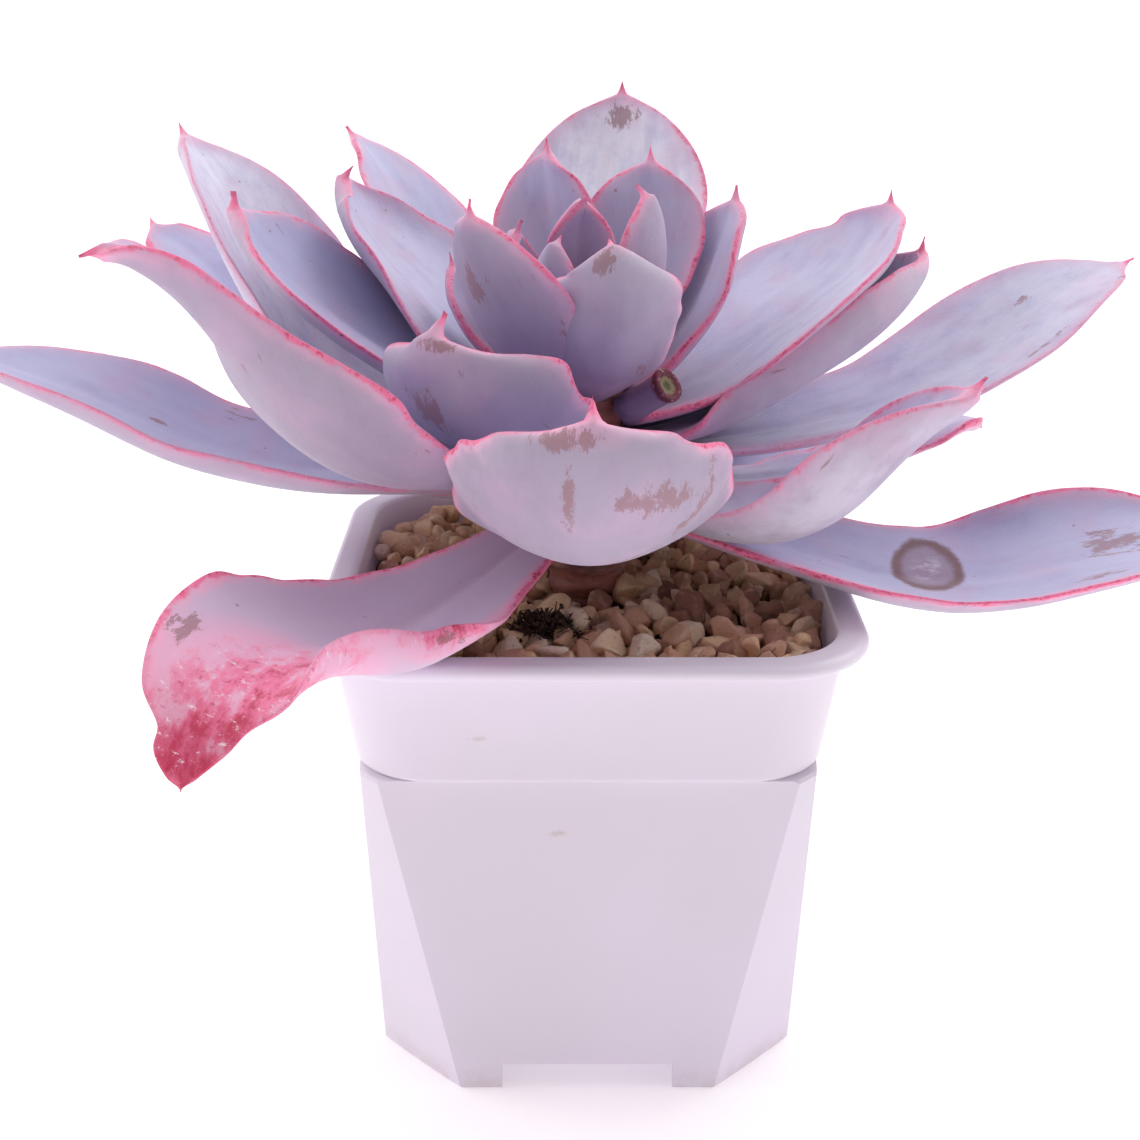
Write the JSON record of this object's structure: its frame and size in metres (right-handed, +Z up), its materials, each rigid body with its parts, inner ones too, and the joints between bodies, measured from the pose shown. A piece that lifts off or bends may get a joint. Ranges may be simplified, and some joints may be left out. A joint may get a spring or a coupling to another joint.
{
  "type": "potted succulent",
  "caption": "Rosette succulent with powdery lilac-blue, pink-edged fleshy leaves on a short stem, planted in tan grit in a white square plastic pot with a flared lip.",
  "frame": {"origin": "middle of the underside of the pot's feet, on the surface that the pot stands on", "axes": "+Z up the stem, X and Y square to the pot's sides, with the plant's front towards -Y"},
  "size_m": [0.2323, 0.1791, 0.16],
  "materials": {
    "pot_plastic": "smooth moulded white plastic, satin",
    "grit": "dry tan and brown baked-clay grains",
    "stem_bark": "dry reddish brown stem with leaf scars",
    "cut_stalk": "dried cut stalk, dark red rind and pale pith",
    "leaf_skin": "matt powdery bloom over fleshy leaf, pink margins"
  },
  "bodies": {
    "root": {"pot": "pot_plastic", "grit_bed": "grit", "stem": "stem_bark", "flower_stalk_stub": "cut_stalk", "leaf_front_left_drooping": "leaf_skin", "leaf_right_low": "leaf_skin", "leaf_back_left_lowest": "leaf_skin", "leaf_back_right_lowest": "leaf_skin", "leaf_back_left_low": "leaf_skin", "leaf_back_right_low": "leaf_skin", "leaf_right_thin": "leaf_skin", "leaf_left_long": "leaf_skin", "leaf_back_low": "leaf_skin", "leaf_front_bowl": "leaf_skin", "leaf_right_folded": "leaf_skin", "leaf_left_slim": "leaf_skin", "leaf_right_long": "leaf_skin", "leaf_left_front_tall": "leaf_skin", "leaf_left_tall": "leaf_skin", "leaf_right_wide_lower": "leaf_skin", "leaf_front_left_bowl": "leaf_skin", "leaf_left_wide": "leaf_skin", "leaf_back_left_long": "leaf_skin", "leaf_right_wide": "leaf_skin", "leaf_back_left": "leaf_skin", "leaf_back_tall": "leaf_skin", "leaf_right_inner": "leaf_skin", "leaf_left_inner_back": "leaf_skin", "leaf_left_inner": "leaf_skin", "leaf_front_right_inner": "leaf_skin", "leaf_back_inner_right": "leaf_skin", "leaf_back_inner_left": "leaf_skin", "leaf_heart_left": "leaf_skin", "leaf_heart_front": "leaf_skin", "leaf_heart_right": "leaf_skin", "leaf_heart_back": "leaf_skin"}
  },
  "joints": []
}
